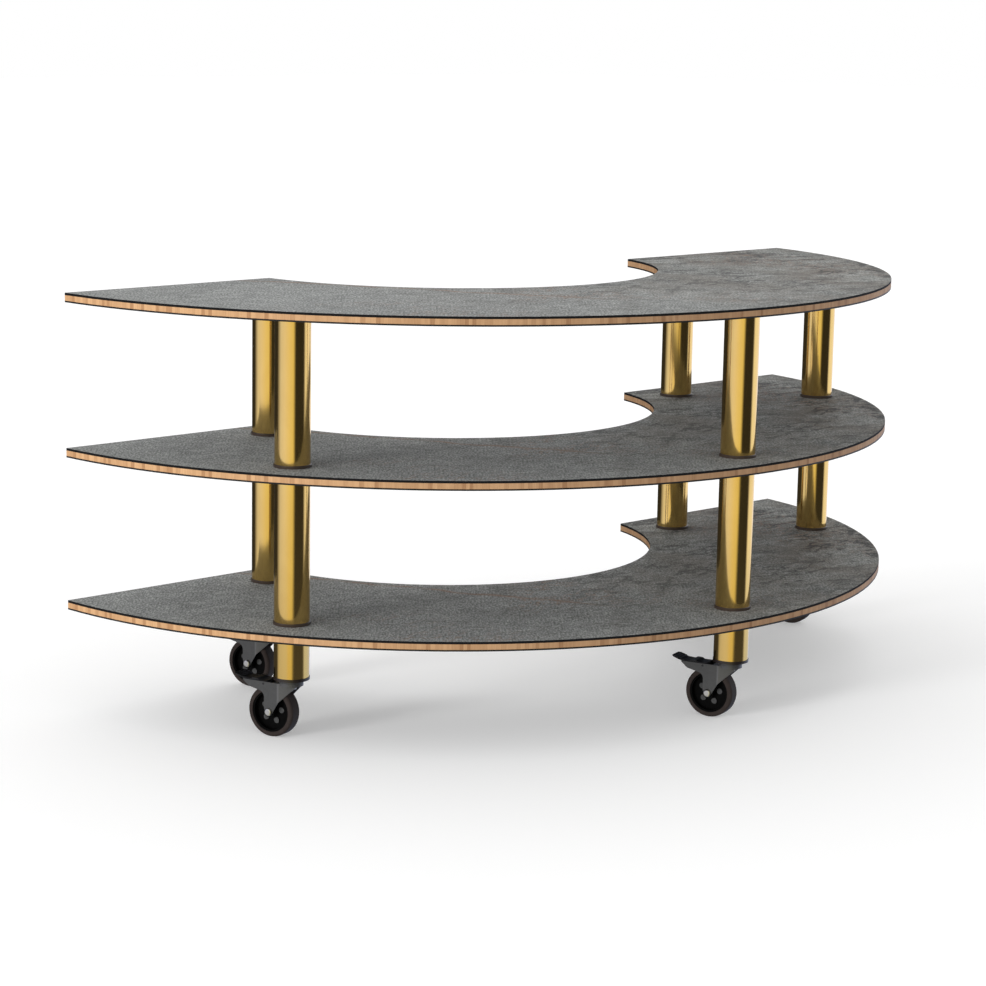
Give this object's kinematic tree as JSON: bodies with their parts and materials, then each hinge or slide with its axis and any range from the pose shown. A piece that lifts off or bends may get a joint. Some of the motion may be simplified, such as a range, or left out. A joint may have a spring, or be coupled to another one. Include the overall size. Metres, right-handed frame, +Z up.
{
  "type": "buffet table",
  "caption": "Half-ring tiered buffet table: slate-faced boards with wood-core edges on polished gold tube posts, rolling on braked swivel casters.",
  "frame": {"origin": "on the floor, under the middle of the table's bounding box", "axes": "+X along the table's width, to the right of a guest facing it; +Y from the guest's side to the server's bay; +Z up"},
  "size_m": [2.0988, 1.0524, 0.8955],
  "materials": {
    "slate_laminate": "slate-look laminate, matt",
    "wood_core": "sanded wood edge, clear lacquer",
    "black_laminate": "black laminate, matt",
    "gold_tube": "polished gold",
    "dark_collar": "dark bronze, satin",
    "steel": "zinc plated",
    "fork_steel": "dark grey powder coat",
    "bright_steel": "bright plated",
    "rubber": "brown-black rubber",
    "black_plastic": "moulded black plastic"
  },
  "bodies": {
    "frame": {"bottom_board_face": "slate_laminate", "bottom_board_core": "wood_core", "bottom_board_backing": "black_laminate", "middle_board_face": "slate_laminate", "middle_board_core": "wood_core", "middle_board_backing": "black_laminate", "top_board_face": "slate_laminate", "top_board_core": "wood_core", "top_board_backing": "black_laminate", "upper_post_outer_left": "gold_tube", "upper_post_outer_middle": "gold_tube", "upper_post_outer_right": "gold_tube", "upper_post_inner_left": "gold_tube", "upper_post_inner_right": "gold_tube", "lower_post_outer_left": "gold_tube", "lower_post_outer_middle": "gold_tube", "lower_post_outer_right": "gold_tube", "lower_post_inner_left": "gold_tube", "lower_post_inner_right": "gold_tube", "leg_outer_left": "gold_tube", "leg_outer_middle": "gold_tube", "leg_outer_right": "gold_tube", "leg_inner_left": "gold_tube", "leg_inner_right": "gold_tube", "tube_end_plugs": "steel", "joint_studs": "steel", "top_board_inserts": "steel", "post_collars": "dark_collar", "foot_collars": "dark_collar", "swivel_stems": "steel", "stem_nuts": "steel", "swivel_caps": "fork_steel", "bearing_balls": "steel"},
    "caster_outer_left": {"fork_outer_left": "fork_steel", "axle_outer_left": "bright_steel"},
    "wheel_outer_left": {"tyre_outer_left": "rubber", "hub_outer_left": "black_plastic"},
    "brake_outer_left": {"pedal_outer_left": "black_plastic"},
    "caster_outer_middle": {"fork_outer_middle": "fork_steel", "axle_outer_middle": "bright_steel"},
    "wheel_outer_middle": {"tyre_outer_middle": "rubber", "hub_outer_middle": "black_plastic"},
    "brake_outer_middle": {"pedal_outer_middle": "black_plastic"},
    "caster_outer_right": {"fork_outer_right": "fork_steel", "axle_outer_right": "bright_steel"},
    "wheel_outer_right": {"tyre_outer_right": "rubber", "hub_outer_right": "black_plastic"},
    "brake_outer_right": {"pedal_outer_right": "black_plastic"},
    "caster_inner_left": {"fork_inner_left": "fork_steel", "axle_inner_left": "bright_steel"},
    "wheel_inner_left": {"tyre_inner_left": "rubber", "hub_inner_left": "black_plastic"},
    "brake_inner_left": {"pedal_inner_left": "black_plastic"},
    "caster_inner_right": {"fork_inner_right": "fork_steel", "axle_inner_right": "bright_steel"},
    "wheel_inner_right": {"tyre_inner_right": "rubber", "hub_inner_right": "black_plastic"},
    "brake_inner_right": {"pedal_inner_right": "black_plastic"}
  },
  "joints": [
    {"name": "swivel_outer_left", "type": "hinge", "parent": "frame", "child": "caster_outer_left", "pos_m": [-0.81742, 0.04609, 0.12], "axis": [0, 0, 1], "continuous": true},
    {"name": "roll_outer_left", "type": "hinge", "parent": "caster_outer_left", "child": "wheel_outer_left", "pos_m": [-0.8304, 0.08604, 0.054], "axis": [0.9511, 0.309, 0], "continuous": true},
    {"name": "brake_outer_left", "type": "hinge", "parent": "caster_outer_left", "child": "brake_outer_left", "pos_m": [-0.83442, 0.0984, 0.1125], "axis": [-0.9511, -0.309, 0], "range_deg": [0, 12]},
    {"name": "swivel_outer_middle", "type": "hinge", "parent": "frame", "child": "caster_outer_middle", "pos_m": [0.00542, -0.42515, 0.12], "axis": [0, 0, 1], "continuous": true},
    {"name": "roll_outer_middle", "type": "hinge", "parent": "caster_outer_middle", "child": "wheel_outer_middle", "pos_m": [-0.00756, -0.38521, 0.054], "axis": [0.9511, 0.309, 0], "continuous": true},
    {"name": "brake_outer_middle", "type": "hinge", "parent": "caster_outer_middle", "child": "brake_outer_middle", "pos_m": [-0.01158, -0.37284, 0.1125], "axis": [-0.9511, -0.309, 0], "range_deg": [0, 12]},
    {"name": "swivel_outer_right", "type": "hinge", "parent": "frame", "child": "caster_outer_right", "pos_m": [0.82826, 0.04609, 0.12], "axis": [0, 0, 1], "continuous": true},
    {"name": "roll_outer_right", "type": "hinge", "parent": "caster_outer_right", "child": "wheel_outer_right", "pos_m": [0.81528, 0.08604, 0.054], "axis": [0.9511, 0.309, 0], "continuous": true},
    {"name": "brake_outer_right", "type": "hinge", "parent": "caster_outer_right", "child": "brake_outer_right", "pos_m": [0.81126, 0.0984, 0.1125], "axis": [-0.9511, -0.309, 0], "range_deg": [0, 12]},
    {"name": "swivel_inner_left", "type": "hinge", "parent": "frame", "child": "caster_inner_left", "pos_m": [-0.5951, 0.39885, 0.12], "axis": [0, 0, 1], "continuous": true},
    {"name": "roll_inner_left", "type": "hinge", "parent": "caster_inner_left", "child": "wheel_inner_left", "pos_m": [-0.60808, 0.43879, 0.054], "axis": [0.9511, 0.309, 0], "continuous": true},
    {"name": "brake_inner_left", "type": "hinge", "parent": "caster_inner_left", "child": "brake_inner_left", "pos_m": [-0.61209, 0.45115, 0.1125], "axis": [-0.9511, -0.309, 0], "range_deg": [0, 12]},
    {"name": "swivel_inner_right", "type": "hinge", "parent": "frame", "child": "caster_inner_right", "pos_m": [0.56358, 0.26585, 0.12], "axis": [0, 0, 1], "continuous": true},
    {"name": "roll_inner_right", "type": "hinge", "parent": "caster_inner_right", "child": "wheel_inner_right", "pos_m": [0.5506, 0.30579, 0.054], "axis": [0.9511, 0.309, 0], "continuous": true},
    {"name": "brake_inner_right", "type": "hinge", "parent": "caster_inner_right", "child": "brake_inner_right", "pos_m": [0.54658, 0.31816, 0.1125], "axis": [-0.9511, -0.309, 0], "range_deg": [0, 12]}
  ]
}
